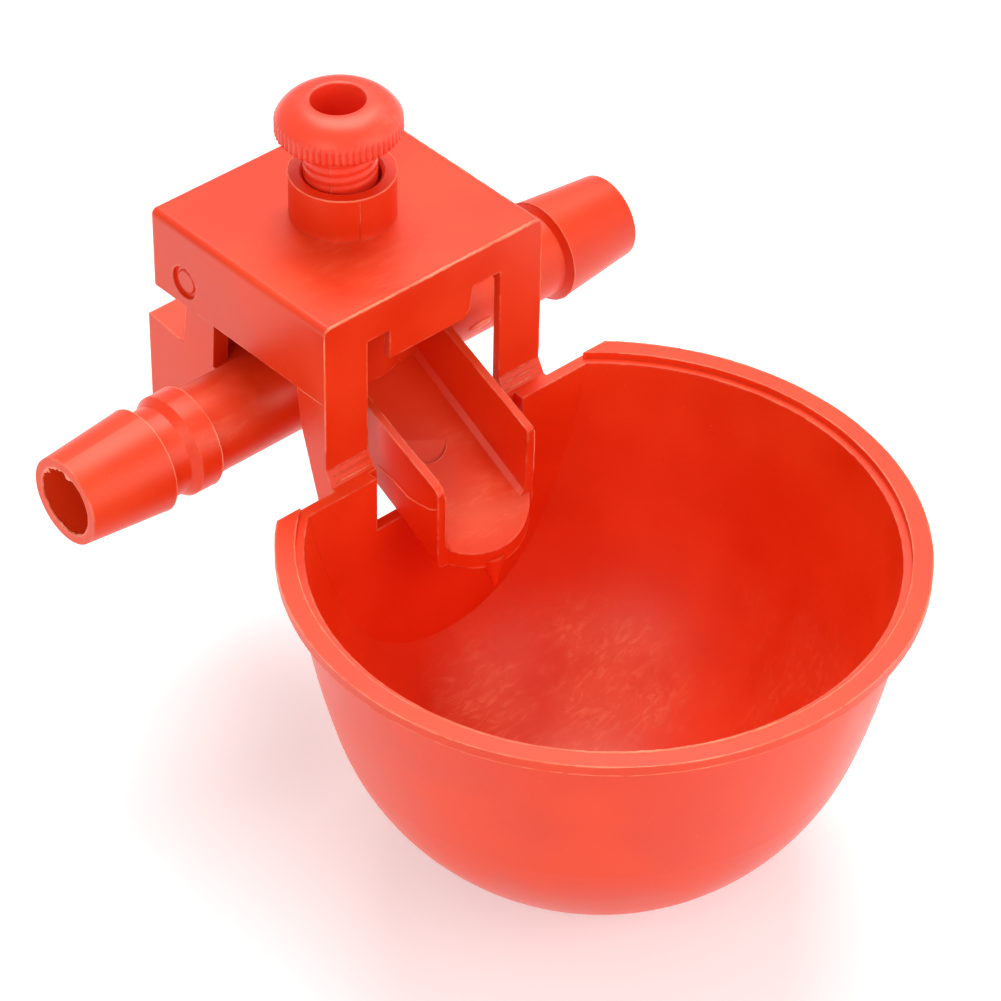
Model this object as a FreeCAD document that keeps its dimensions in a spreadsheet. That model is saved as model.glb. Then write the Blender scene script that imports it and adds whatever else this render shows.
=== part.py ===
import FreeCAD, Part
import math
import os
import Sketcher
from FreeCAD import Vector

# Self-closing hanging-cup drinker for poultry.
# Frame: origin at the middle of the water pipe's axis, +X along the pipe,
# the cup towards -Y, the cage side towards +Y, +Z up.  Millimetres, degrees.

DIMENSIONS = [
    # water pipe, one moulding with the chute, the hinge lugs and the hanger
    ("pipe_half", 45.3), ("pipe_rad", 5.9), ("bore_rad", 4.6),
    ("barb_rad", 6.95), ("barb_at", 33.3), ("barb_back", 0.6), ("barb_tip_rad", 5.85),
    ("collar_rad", 6.75), ("collar_from", 29.0), ("collar_to", 25.9), ("collar_slope", 1.2),
    # valve tower on the pipe, under the screw
    ("tower_y", 0.5), ("seat_rad", 7.2), ("seat_z", 7.5), ("tower_rad", 5.1), ("tower_z", 9.0),
    ("nozzle_rad", 2.6), ("nozzle_z", 12.0), ("nozzle_lip", 1.7), ("nozzle_taper", 1.5),
    ("nozzle_bore", 1.0),
    # chute
    ("chute_x", 0.3), ("chute_out", 8.65), ("chute_in", 7.5), ("chute_foot", 7.1), ("chute_corner", 0.7),
    ("chute_mid_y", 28.0), ("floor_z", 11.6), ("floor_slope", 0.525),
    ("rim_z", 1.5), ("rim_slope", 0.44), ("chute_back", 5.6),
    ("under_knee_y", 20.4), ("under_knee_z", 9.6), ("under_slope", 0.497), ("nose_y", 30.5),
    ("nose_low", 15.3), ("nose_rad", 10.0), ("nose_left", 6.9), ("nose_right", 8.1),
    ("cheek_left", 27.8), ("cheek_right", 26.4), ("cheek_round", 1.7), ("under_round", 0.9),
    ("mark_y", 14.9), ("mark_rad", 3.5), ("mark_dip", 11.3), ("mark_turn", -26.0), ("mark_lift", 0.05),
    ("mark_x", 0.4),
    # hinge lugs and pin
    ("pin_y", 10.3), ("pin_z", 14.0), ("pin_rad", 1.7), ("pin_half", 17.5), ("pin_edge", 0.25),
    ("pin_play", 0.08), ("lug_out", 15.0), ("lug_in", 12.6), ("lug_front", 7.7), ("lug_back", 12.9),
    ("lug_foot_front", 8.6), ("lug_foot_back", 14.6), ("lug_top_rad", 2.65),
    ("web_front", 10.6), ("web_z", 8.5),
    # hanger: a socket, open below, behind the pipe
    ("hang_half", 15.0), ("hang_wall", 2.4), ("hang_back", 21.6), ("hang_top", 1.5),
    ("hang_front_z", 0.3), ("hang_low", 14.0), ("hang_front", 8.6), ("hang_roof", 2.4),
    # cap of the cup lever
    ("cap_half", 17.75), ("cap_front", 16.8), ("cap_back", 17.0), ("cap_top", 22.0),
    ("cap_low", 10.4), ("cap_roof", 2.0), ("cap_side", 2.3), ("cap_skin", 1.1), ("cap_rear", 2.2),
    ("cap_round", 1.0),
    ("post_in", 10.9), ("window_z", 16.9), ("skirt_z", 12.6), ("skirt_left", 7.3),
    ("skirt_right", 6.4), ("skirt_cut", 1.0),
    ("flange_top", 11.4), ("flange_mid_y", 12.1), ("flange_mid_z", 5.0), ("flange_low_y", 15.2),
    ("flange_low_z", 5.2), ("foot_z", 12.0), ("ramp_z", 0.2), ("ramp_out", 1.1),
    ("boss_rad", 6.8), ("boss_top", 28.2), ("boss_bore", 4.93), ("boss_lead", 0.4),
    ("hole_sink", 2.3), ("hole_sink_deep", 0.5),
    # bowl
    ("bowl_y", 48.0), ("rim_rad", 40.0), ("rim_top", 1.0), ("rim_band", 1.4), ("band_in", 37.5),
    ("ledge_z", 1.9), ("ledge_in", 36.4), ("wall_rad", 37.8), ("foot_deep", 15.6),
    ("foot_round", 34.9), ("base_angle", 9.0), ("blend", 15.6), ("wall", 1.7), ("chord_y", 18.4),
    ("chord_wall", 1.6), ("band_end", 18.9), ("gap_half", 12.2), ("sill_z", 10.2),
    # adjusting screw
    ("head_rad", 8.05), ("head_low", 33.3), ("head_foot", 6.8), ("head_edge", 34.5),
    ("head_band", 36.3), ("head_top", 38.8), ("head_crown", 5.0), ("head_hole", 3.5),
    ("head_hole_z", 24.5), ("shank_rad", 4.85),
    ("shank_low", 15.6), ("socket_rad", 1.58), ("socket_z", 19.2), ("knurl_count", 54),
    ("knurl_deep", 0.24),
    # valve plug and spring
    ("plug_low", 13.0), ("plug_rad", 3.9), ("plug_top", 15.5), ("stem_rad", 1.5), ("stem_top", 18.8),
    ("spring_rad", 6.05), ("wire_rad", 0.4), ("spring_turns", 3.0),
]

VALUES = dict(DIMENSIONS)


class Dim:
    """A length worked out from the sheet: its number and the expression that binds it."""

    def __init__(self, value, text):
        self.value = float(value)
        self.text = text

    def _join(self, other, sign, result, swap=False):
        text = other.text if isinstance(other, Dim) else repr(float(other))
        first, second = (text, self.text) if swap else (self.text, text)
        return Dim(result, "(%s %s %s)" % (first, sign, second))

    def _number(self, other):
        return other.value if isinstance(other, Dim) else float(other)

    def __add__(self, other):
        return self._join(other, "+", self.value + self._number(other))

    def __radd__(self, other):
        return self._join(other, "+", self._number(other) + self.value, swap=True)

    def __sub__(self, other):
        return self._join(other, "-", self.value - self._number(other))

    def __rsub__(self, other):
        return self._join(other, "-", self._number(other) - self.value, swap=True)

    def __mul__(self, other):
        return self._join(other, "*", self.value * self._number(other))

    def __rmul__(self, other):
        return self._join(other, "*", self._number(other) * self.value, swap=True)

    def __truediv__(self, other):
        return self._join(other, "/", self.value / self._number(other))

    def __neg__(self):
        return Dim(-self.value, "(0 - %s)" % self.text)


def cosine(angle):
    return Dim(math.cos(math.radians(angle.value)), "cos(%s * 1 deg)" % angle.text)


def sine(angle):
    return Dim(math.sin(math.radians(angle.value)), "sin(%s * 1 deg)" % angle.text)


ZERO = Dim(0.0, "0")


class Dims:
    """Attribute access to the sheet's cells: d.rim_rad is the cell called rim_rad."""

    def __getattr__(self, name):
        return Dim(VALUES[name], "dims." + name)


d = Dims()
doc = FreeCAD.newDocument("cup_drinker")
sheet = doc.addObject("Spreadsheet::Sheet", "dims")
for row, (alias, number) in enumerate(DIMENSIONS, start=1):
    sheet.set("A%d" % row, alias)
    sheet.set("B%d" % row, str(number))
    sheet.setAlias("B%d" % row, alias)
doc.recompute()


def bind(item, name, dim):
    """Give a property of item the value of dim, and keep it bound to the sheet."""
    item.setExpression(name, dim.text)


def make_body(label):
    body = doc.addObject("PartDesign::Body", label)
    body.Label = label
    return body


def origin_plane(body, role):
    return [item for item in body.Origin.OriginFeatures if item.Role == role][0]


def sketch_on(body, name, role, along=None, across=None):
    """An empty sketch on one of the body's origin planes.
    along shifts it along the plane's normal, across shifts its origin along its own X."""
    sketch = body.newObject("Sketcher::SketchObject", name)
    sketch.AttachmentSupport = [(origin_plane(body, role), "")]
    sketch.MapMode = "FlatFace"
    if along is not None:
        bind(sketch, "AttachmentOffset.Base.z", along)
    if across is not None:
        bind(sketch, "AttachmentOffset.Base.x", across)
    return sketch


def arc_between(start, end, radius, turn):
    """The arc from start to end whose centre lies left (turn 1) or right (turn -1) of the chord."""
    chord = end - start
    middle = (start + end) * 0.5
    half = chord.Length / 2.0
    side = Vector(-chord.y, chord.x, 0).normalize() * turn
    centre = middle + side * math.sqrt(max(radius * radius - half * half, 0.0))
    outward = (middle - centre).normalize() * radius
    first, last = (start, end) if turn > 0 else (end, start)
    return Part.Arc(first, centre + outward, last)


def outline(sketch, points):
    """A closed outline.  A point is (x, y), or (x, y, radius, turn) where an arc leads to the next."""
    places = [Vector(point[0].value, point[1].value, 0) for point in points]
    count = len(points)
    ends = []
    for number, point in enumerate(points):
        start, end = places[number], places[(number + 1) % count]
        if len(point) == 2:
            sketch.addGeometry(Part.LineSegment(start, end), False)
            ends.append((1, 2))
            continue
        sketch.addGeometry(arc_between(start, end, point[2].value, point[3]), False)
        ends.append((1, 2) if point[3] > 0 else (2, 1))
    for number, point in enumerate(points):
        after = (number + 1) % count
        sketch.addConstraint(Sketcher.Constraint("Coincident", number, ends[number][1],
                                                 after, ends[after][0]))
    for number, point in enumerate(points):
        for axis, dim in (("DistanceX", point[0]), ("DistanceY", point[1])):
            place = sketch.addConstraint(Sketcher.Constraint(axis, -1, 1, number, ends[number][0],
                                                             dim.value))
            sketch.setExpression("Constraints[%d]" % place, dim.text)
        if len(point) == 4:
            place = sketch.addConstraint(Sketcher.Constraint("Radius", number, point[2].value))
            sketch.setExpression("Constraints[%d]" % place, point[2].text)


def ring(sketch, x, y, radius):
    """A circle bound to its centre and radius."""
    sketch.addGeometry(Part.Circle(Vector(x.value, y.value, 0), Vector(0, 0, 1), radius.value), False)
    last = sketch.GeometryCount - 1
    for axis, dim in (("DistanceX", x), ("DistanceY", y)):
        place = sketch.addConstraint(Sketcher.Constraint(axis, -1, 1, last, 3, dim.value))
        sketch.setExpression("Constraints[%d]" % place, dim.text)
    place = sketch.addConstraint(Sketcher.Constraint("Radius", last, radius.value))
    sketch.setExpression("Constraints[%d]" % place, radius.text)


def six_sided(sketch, x, y, radius):
    """A hexagon with its corners at that radius, two of them level with its centre."""
    near_x, near_y = radius * 0.5, radius * math.sqrt(0.75)
    outline(sketch, [
        (x + radius, y), (x + near_x, y + near_y), (x - near_x, y + near_y),
        (x - radius, y), (x - near_x, y - near_y), (x + near_x, y - near_y),
    ])


def sweep(body, kind, name, sketch, length, reverse=False):
    """A Pad or a Pocket of sketch, of the given length along the sketch's normal."""
    feature = body.newObject("PartDesign::" + kind, name)
    feature.Profile = sketch
    feature.Type = "Length"
    bind(feature, "Length", length)
    # a Pocket runs against the normal unless it is reversed
    feature.Reversed = reverse if kind == "Pad" else not reverse
    body.Tip = feature
    doc.recompute()
    return feature


def turn(body, kind, name, sketch, axis="V_Axis"):
    """A Revolution or a Groove of sketch, all the way round one of its axes."""
    feature = body.newObject("PartDesign::" + kind, name)
    feature.Profile = sketch
    feature.ReferenceAxis = (sketch, [axis])
    feature.Angle = 360.0
    body.Tip = feature
    doc.recompute()
    return feature


def slab(body, kind, name, role, points, start, length):
    """Pad or pocket the outline, from start along the plane's normal, by length."""
    sketch = sketch_on(body, name + "_outline", role, along=start)
    outline(sketch, points)
    return sweep(body, kind, name, sketch, length)


def edges_where(feature, test):
    """Names of the feature's edges whose both ends and middle pass the test."""
    names = []
    for number, edge in enumerate(feature.Shape.Edges, start=1):
        middle = edge.valueAt((edge.FirstParameter + edge.LastParameter) / 2.0)
        if all(test(point) for point in [vertex.Point for vertex in edge.Vertexes] + [middle]):
            names.append("Edge%d" % number)
    return names


def dress(body, kind, name, feature, test, size):
    """A Fillet or a Chamfer of the edges of feature that pass the test."""
    names = edges_where(feature, test)
    if not names:
        raise RuntimeError("no edge for " + name)
    dressed = body.newObject("PartDesign::" + kind, name)
    dressed.Base = (feature, names)
    bind(dressed, "Radius" if kind == "Fillet" else "Size", size)
    body.Tip = dressed
    doc.recompute()
    return dressed


def near(number, dim):
    return abs(number - dim.value) < 1e-4


# --------------------------------------------------------------------------- valve body

def chute_floor(y):
    return -d.floor_z + d.floor_slope * (d.chute_mid_y - y)


def chute_rim(y):
    return -d.rim_z + d.rim_slope * (d.chute_mid_y - y)


def add_chute(body):
    """The sloping trough that leads from the valve into the bowl, with its rounded nose."""
    rim_knee = d.chute_mid_y - (d.seat_z + d.rim_z) / d.rim_slope
    inside = d.bore_rad - 1.6
    left = -d.chute_x - d.chute_out
    side = [
        (ZERO, d.seat_z), (-rim_knee, d.seat_z), (-d.nose_y, chute_rim(d.nose_y)),
        (-d.nose_y, -d.nose_low), (-d.under_knee_y, -d.under_knee_z),
        (-inside, -d.under_knee_z + d.under_slope * (d.under_knee_y - inside)), (ZERO, ZERO),
    ]
    trough = slab(body, "Pad", "trough", "YZ_Plane", side, left, d.chute_out * 2)
    side_face = lambda p: near(abs(p.x + d.chute_x.value), d.chute_out) and p.y < -2.9
    low = lambda p: p.z < chute_floor(Dim(-p.y, "0")).value
    dress(body, "Fillet", "trough_round", trough, lambda p: side_face(p) and low(p), d.under_round)
    # the channel follows the slope; its sides lean out and its bottom corners are bevelled
    floor = chute_floor(d.chute_back)
    low = floor + d.chute_corner
    foot = d.chute_foot - d.chute_corner
    section = [
        (-foot, floor), (foot, floor), (d.chute_foot, low),
        (d.chute_in, low + d.seat_z), (d.chute_in, low + d.seat_z * 4.0),
        (-d.chute_in, low + d.seat_z * 4.0), (-d.chute_in, low + d.seat_z),
        (-d.chute_foot, low),
    ]
    sketch = sketch_on(body, "channel_outline", "XZ_Plane", along=d.chute_back, across=-d.chute_x)
    outline(sketch, section)
    channel = body.newObject("PartDesign::Pocket", "channel")
    channel.Profile = sketch
    channel.Type = "Length"
    channel.UseCustomVector = True
    channel.AlongSketchNormal = True
    channel.Direction = Vector(0, -1, -d.floor_slope.value)
    bind(channel, "Direction.z", -d.floor_slope)
    bind(channel, "Length", d.nose_y)
    channel.Reversed = False
    body.Tip = channel
    doc.recompute()
    # the cheeks stop where the nose begins to round, and their top corners are rounded
    end = d.nose_y + 2.0
    ends = (("cheek_left", d.cheek_left, d.cheek_round, left - 1.0),
            ("cheek_right", d.cheek_right, d.cheek_round / 2.0, -d.chute_x))
    for name, stop, round_off, start in ends:
        cheek = [(-stop, d.seat_z), (-end, d.seat_z), (-end, chute_floor(end)), (-stop, chute_floor(stop))]
        cut = slab(body, "Pocket", name + "_end", "YZ_Plane", cheek, start, d.chute_out + 1.0)
        corner = lambda p, stop=stop: near(p.y, -stop) and near(p.z, chute_rim(stop))
        dress(body, "Fillet", name + "_round", cut, corner, round_off)
    far = -d.nose_y - 4.0
    wide = d.chute_out + 2.0
    right_end = -d.cheek_right + 0.1
    left_end = -d.cheek_left + 0.1
    nose = [
        (-wide, far), (wide, far), (wide, right_end), (d.nose_right, right_end, d.nose_rad, -1),
        (-d.nose_left, left_end), (-wide, left_end),
    ]
    sketch = sketch_on(body, "nose_outline", "XY_Plane", along=-d.nose_low - 2.0, across=-d.chute_x)
    outline(sketch, nose)
    sweep(body, "Pocket", "nose", sketch, d.nose_low + 2.0)
    add_ejector_mark(body)


def add_ejector_mark(body):
    """The round mark of an ejector pin in the chute's floor: a disc tipped more than the floor."""
    sketch = sketch_on(body, "mark_outline", "XY_Plane")
    slope = FreeCAD.Rotation(Vector(1, 0, 0), math.degrees(math.atan(d.floor_slope.value)))
    turned = FreeCAD.Rotation(Vector(0, 0, 1), d.mark_turn.value)
    dipped = FreeCAD.Rotation(Vector(1, 0, 0), d.mark_dip.value)
    sketch.AttachmentOffset = FreeCAD.Placement(Vector(), slope * turned * dipped)
    bind(sketch, "AttachmentOffset.Base.x", -(d.chute_x + d.mark_x))
    bind(sketch, "AttachmentOffset.Base.y", -d.mark_y)
    bind(sketch, "AttachmentOffset.Base.z", chute_floor(d.mark_y) + d.mark_lift)
    ring(sketch, ZERO, ZERO, d.mark_rad)
    sweep(body, "Pocket", "ejector_mark", sketch, d.mark_rad)


def add_hanger(body):
    """The socket behind the pipe, open below, and the two hinge lugs that stand on it."""
    side = [
        (ZERO, d.hang_front_z), (d.hang_back - 12.0, d.hang_front_z), (d.hang_back, d.hang_top),
        (d.hang_back, -d.hang_low), (d.hang_front - d.hang_wall, -d.hang_low), (ZERO, -d.pipe_rad + 1.0),
    ]
    slab(body, "Pad", "hanger", "YZ_Plane", side, -d.hang_half, d.hang_half * 2)
    hollow = [
        (d.hang_front, -d.hang_roof), (d.hang_back - d.hang_wall, -d.hang_roof),
        (d.hang_back - d.hang_wall, -d.hang_low - 1.0), (d.hang_front, -d.hang_low - 1.0),
    ]
    slab(body, "Pocket", "socket", "YZ_Plane", hollow, -d.hang_half + d.hang_wall,
         (d.hang_half - d.hang_wall) * 2)
    lug = [
        (d.lug_foot_front, ZERO), (d.lug_front, d.pin_z, d.lug_top_rad, -1),
        (d.lug_back, d.pin_z), (d.lug_foot_back, ZERO),
    ]
    for name, start in (("lug_left", -d.lug_out), ("lug_right", d.lug_in)):
        slab(body, "Pad", name, "YZ_Plane", lug, start, d.lug_out - d.lug_in)
    web = [
        (d.web_front, ZERO), (d.web_front, d.web_z), (d.lug_back, d.web_z), (d.lug_back, ZERO),
    ]
    slab(body, "Pad", "lug_web", "YZ_Plane", web, -d.lug_out, d.lug_out * 2)


def add_pipe(body):
    """The water pipe: a barb at each end, and a collar behind the left one."""
    def end_profile(sign):
        tip = d.pipe_half * sign
        return [
            (tip, d.barb_tip_rad), (d.barb_at * sign, d.barb_rad),
            ((d.barb_at - d.barb_back) * sign, d.pipe_rad),
        ]
    collar = [
        (-d.collar_from - d.collar_slope, d.pipe_rad), (-d.collar_from, d.collar_rad),
        (-d.collar_to, d.collar_rad), (-d.collar_to, d.pipe_rad),
    ]
    profile = [(-d.pipe_half, ZERO)] + end_profile(-1) + collar
    profile += list(reversed(end_profile(1))) + [(d.pipe_half, ZERO)]
    sketch = sketch_on(body, "pipe_outline", "XZ_Plane")
    outline(sketch, profile)
    turn(body, "Revolution", "pipe", sketch, "H_Axis")


def add_tower(body):
    """The upright on the pipe: the spring's seat, the spring's guide and the nozzle."""
    profile = [
        (ZERO, ZERO), (d.seat_rad, ZERO), (d.seat_rad, d.seat_z), (d.tower_rad, d.seat_z),
        (d.tower_rad, d.tower_z), (d.nozzle_rad, d.tower_z),
        (d.nozzle_rad, d.nozzle_z - d.nozzle_taper), (d.nozzle_lip, d.nozzle_z), (ZERO, d.nozzle_z),
    ]
    sketch = sketch_on(body, "tower_outline", "YZ_Plane", across=d.tower_y)
    outline(sketch, profile)
    turn(body, "Revolution", "tower", sketch)


def bore_through(body):
    """The water way, the nozzle's bore and the pin's bore."""
    for name, y, z, radius in (("water_way", ZERO, ZERO, d.bore_rad),
                               ("pin_bore", d.pin_y, d.pin_z, d.pin_rad + d.pin_play)):
        sketch = sketch_on(body, name + "_outline", "YZ_Plane", along=-d.pipe_half - 1.0)
        ring(sketch, y, z, radius)
        sweep(body, "Pocket", name, sketch, d.pipe_half * 2 + 2.0)
    sketch = sketch_on(body, "nozzle_bore_outline", "XY_Plane")
    ring(sketch, ZERO, d.tower_y, d.nozzle_bore)
    sweep(body, "Pocket", "nozzle_way", sketch, d.nozzle_z + 1.0)


def make_valve_body():
    body = make_body("valve_body")
    add_chute(body)
    add_pipe(body)
    add_hanger(body)
    add_tower(body)
    bore_through(body)
    return body


# --------------------------------------------------------------------------- drinking cup

def bowl_side(inset, top, top_rad):
    """The bowl's skin from where the round bottom ends: its foot radius, the meeting point as an
    outline point whose arc leads up the side, and the top."""
    foot = d.foot_round - inset
    meet = (foot * cosine(d.blend), -d.foot_deep - foot * sine(d.blend))
    away_r = top_rad - meet[0]
    away_z = top - meet[1]
    lean = away_z * sine(d.blend) - away_r * cosine(d.blend)
    side = (away_r * away_r + away_z * away_z) / (lean * 2)
    return foot, [meet + (side, 1), (top_rad, top)]


def add_bowl(body):
    """The D-shaped bowl: round, with a flat back that has a way in for the chute."""
    band_low = -d.rim_top - d.rim_band
    foot, side = bowl_side(ZERO, band_low, d.wall_rad)
    low = -d.foot_deep - foot * cosine(d.base_angle)
    profile = [(ZERO, low), (foot * sine(d.base_angle), low, foot, 1)] + side
    profile += [(d.rim_rad, band_low), (d.rim_rad, -d.rim_top), (ZERO, -d.rim_top)]
    sketch = sketch_on(body, "bowl_outline", "YZ_Plane", across=-d.bowl_y)
    outline(sketch, profile)
    turn(body, "Revolution", "bowl", sketch)
    reach = d.rim_rad + 1.0
    square = [(-reach, -d.chord_y), (reach, -d.chord_y), (reach, ZERO), (-reach, ZERO)]
    slab(body, "Pocket", "flat_back", "XY_Plane", square, low - 1.0, -low + 1.0)
    square = [(-reach, -d.band_end), (reach, -d.band_end), (reach, ZERO), (-reach, ZERO)]
    slab(body, "Pocket", "band_ends", "XY_Plane", square, -d.ledge_z, d.ledge_z)
    cavity = make_body("bowl_cavity")
    foot, side = bowl_side(d.wall, -d.ledge_z, d.ledge_in)
    inner = [(ZERO, -d.foot_deep - foot, foot, 1)] + side + [(ZERO, -d.ledge_z)]
    sketch = sketch_on(cavity, "cavity_outline", "YZ_Plane", across=-d.bowl_y)
    outline(sketch, inner)
    turn(cavity, "Revolution", "cavity", sketch)
    back = -d.chord_y - d.chord_wall
    square = [(-reach, back), (reach, back), (reach, ZERO), (-reach, ZERO)]
    slab(cavity, "Pocket", "cavity_back", "XY_Plane", square, low - 1.0, -low + 1.0)
    sketch = sketch_on(cavity, "ledge_outline", "XY_Plane", along=-d.ledge_z)
    ring(sketch, ZERO, -d.bowl_y, d.band_in)
    sweep(cavity, "Pad", "ledge", sketch, d.ledge_z)
    cut = body.newObject("PartDesign::Boolean", "hollow")
    cut.Type = "Cut"
    cut.addObject(cavity)
    body.Tip = cut
    doc.recompute()
    gap = [(-d.gap_half, -d.sill_z), (d.gap_half, -d.sill_z), (d.gap_half, ZERO), (-d.gap_half, ZERO)]
    slab(body, "Pocket", "chute_gap", "XZ_Plane", gap, d.chord_y - 1.0, d.chord_wall + 2.0)


def add_cap(body):
    """The cap over the valve, with the two posts that carry the bowl."""
    side = [
        (d.cap_back, d.cap_top), (d.cap_back, d.cap_low), (-d.flange_top, d.cap_low),
        (-d.flange_mid_y, d.flange_mid_z), (-d.flange_low_y, -d.flange_low_z),
        (-d.chord_y, -d.foot_z), (-d.chord_y, -d.ledge_z), (-d.cap_front - d.ramp_out, -d.ledge_z),
        (-d.cap_front, d.ramp_z), (-d.cap_front, d.cap_top),
    ]
    block = slab(body, "Pad", "cap", "YZ_Plane", side, -d.cap_half, d.cap_half * 2)
    upright = lambda p: near(abs(p.x), d.cap_half) and near(p.y, d.cap_back)
    top = lambda p: near(p.z, d.cap_top) and not near(p.y, -d.cap_front)
    sides = lambda p: near(p.z, d.cap_top) and near(abs(p.x), d.cap_half)
    dress(body, "Fillet", "cap_edges", block, lambda p: upright(p) or top(p) or sides(p), d.cap_round)
    inside = d.cap_half - d.cap_side
    room = [
        (-inside, -d.cap_front + d.cap_skin), (inside, -d.cap_front + d.cap_skin),
        (inside, d.cap_back - d.cap_rear), (-inside, d.cap_back - d.cap_rear),
    ]
    slab(body, "Pocket", "cap_room", "XY_Plane", room, -d.foot_z - 1.0,
         d.cap_top - d.cap_roof + d.foot_z + 1.0)
    window = [
        (-d.post_in, -d.foot_z - 1.0), (-d.post_in, d.window_z), (-d.skirt_left, d.window_z),
        (-d.skirt_left, d.skirt_z), (d.skirt_right - d.skirt_cut * 1.6, d.skirt_z),
        (d.skirt_right - d.skirt_cut * 0.5, d.skirt_z + d.skirt_cut), (d.skirt_right, d.window_z),
        (d.post_in, d.window_z), (d.post_in, -d.foot_z - 1.0),
    ]
    slab(body, "Pocket", "cap_windows", "XZ_Plane", window, d.cap_front - d.cap_skin - 1.5,
         d.chord_y - d.cap_front + d.cap_skin + 1.5)


def add_boss(body):
    """The collar that guides the screw, and the pin's holes in the cap's sides."""
    sketch = sketch_on(body, "boss_outline", "XY_Plane", along=d.cap_top - d.cap_roof)
    ring(sketch, ZERO, d.tower_y, d.boss_rad)
    sweep(body, "Pad", "boss", sketch, d.boss_top - d.cap_top + d.cap_roof)
    sketch = sketch_on(body, "boss_bore_outline", "XY_Plane", along=d.cap_low)
    ring(sketch, ZERO, d.tower_y, d.boss_bore)
    bore = sweep(body, "Pocket", "boss_bore", sketch, d.boss_top - d.cap_low + 1.0)
    mouth = lambda p: near(p.z, d.boss_top) and near(math.hypot(p.x, p.y - d.tower_y.value), d.boss_bore)
    dress(body, "Chamfer", "boss_mouth", bore, mouth, d.boss_lead)
    sketch = sketch_on(body, "pin_hole_outline", "YZ_Plane", along=-d.cap_half - 1.0)
    ring(sketch, d.pin_y, d.pin_z, d.pin_rad)
    sweep(body, "Pocket", "pin_hole", sketch, d.cap_half * 2 + 2.0)
    for name, start in (("sink_left", -d.cap_half - 1.0), ("sink_right", d.cap_half - d.hole_sink_deep)):
        sketch = sketch_on(body, name + "_outline", "YZ_Plane", along=start)
        ring(sketch, d.pin_y, d.pin_z, d.hole_sink)
        sweep(body, "Pocket", name, sketch, d.hole_sink_deep + 1.0)


def make_drinking_cup():
    body = make_body("drinking_cup")
    add_bowl(body)
    add_cap(body)
    add_boss(body)
    return body


# --------------------------------------------------------------------------- small pieces

def make_pivot_pin():
    """The smooth pin that the cup tilts on, held in the cap's sides."""
    body = make_body("pivot_pin")
    sketch = sketch_on(body, "pin_outline", "YZ_Plane", along=-d.pin_half)
    ring(sketch, d.pin_y, d.pin_z, d.pin_rad)
    rod = sweep(body, "Pad", "rod", sketch, d.pin_half * 2)
    dress(body, "Chamfer", "rod_ends", rod, lambda p: near(abs(p.x), d.pin_half), d.pin_edge)
    return body


def make_adjusting_screw():
    """The screw with the knurled, dished head that sets how high the valve plug hangs."""
    body = make_body("adjusting_screw")
    lip = d.head_hole + 0.5
    profile = [
        (d.socket_rad, d.shank_low), (d.shank_rad, d.shank_low), (d.shank_rad, d.head_low),
        (d.head_foot, d.head_low), (d.head_rad, d.head_edge), (d.head_rad, d.head_band, d.head_crown, 1),
        (lip, d.head_top),
        (d.head_hole, d.head_top - 0.3), (d.head_hole, d.head_hole_z), (ZERO, d.head_hole_z),
        (ZERO, d.socket_z), (d.socket_rad, d.socket_z),
    ]
    sketch = sketch_on(body, "screw_outline", "YZ_Plane", across=d.tower_y)
    outline(sketch, profile)
    turn(body, "Revolution", "screw", sketch)
    # the knurl: one upright groove, repeated round the head
    edge = d.head_rad - d.knurl_deep
    groove = [(edge, ZERO), (d.head_rad + 0.3, -d.knurl_deep * 1.6), (d.head_rad + 0.3, d.knurl_deep * 1.6)]
    sketch = sketch_on(body, "knurl_outline", "XY_Plane", along=d.head_low)
    bind(sketch, "AttachmentOffset.Base.y", d.tower_y)
    outline(sketch, groove)
    cut = sweep(body, "Pocket", "knurl", sketch, d.head_band - d.head_low - 0.2)
    pattern = body.newObject("PartDesign::PolarPattern", "knurls")
    pattern.Originals = [cut]
    pattern.Axis = (sketch, ["N_Axis"])
    pattern.Angle = 360.0
    bind(pattern, "Occurrences", d.knurl_count)
    body.Tip = pattern
    doc.recompute()
    return body


def make_valve_plug():
    """The rubber plug that shuts the nozzle; its stem swivels in the screw's tip."""
    body = make_body("valve_plug")
    profile = [
        (ZERO, d.plug_low), (d.plug_rad - 0.4, d.plug_low), (d.plug_rad, d.plug_low + 0.4),
        (d.plug_rad, d.plug_top), (d.stem_rad, d.plug_top), (d.stem_rad, d.stem_top - 0.4),
        (d.stem_rad - 0.4, d.stem_top), (ZERO, d.stem_top),
    ]
    sketch = sketch_on(body, "plug_outline", "YZ_Plane", across=d.tower_y)
    outline(sketch, profile)
    turn(body, "Revolution", "plug", sketch)
    return body


def make_return_spring():
    """The steel spring round the tower that lifts the empty cup."""
    body = make_body("return_spring")
    top = d.cap_top - d.cap_roof
    half = d.wire_rad * math.sqrt(0.75)
    closed = d.wire_rad * 2.05
    levels = [
        ("low_end", d.seat_z + half, closed, Dim(1.0, "1")),
        ("coil", d.seat_z + half + closed, top - d.seat_z - half * 2 - closed * 2, d.spring_turns),
        ("high_end", top - half - closed, closed, Dim(1.0, "1")),
    ]
    for name, start, height, turns in levels:
        sketch = sketch_on(body, name + "_wire", "YZ_Plane", across=d.tower_y)
        six_sided(sketch, d.spring_rad, start, d.wire_rad)
        coil = body.newObject("PartDesign::AdditiveHelix", name)
        coil.Profile = sketch
        coil.ReferenceAxis = (sketch, ["V_Axis"])
        coil.Mode = "height-turns-angle"
        bind(coil, "Height", height)
        bind(coil, "Turns", turns)
        body.Tip = coil
        doc.recompute()
    return body


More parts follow.
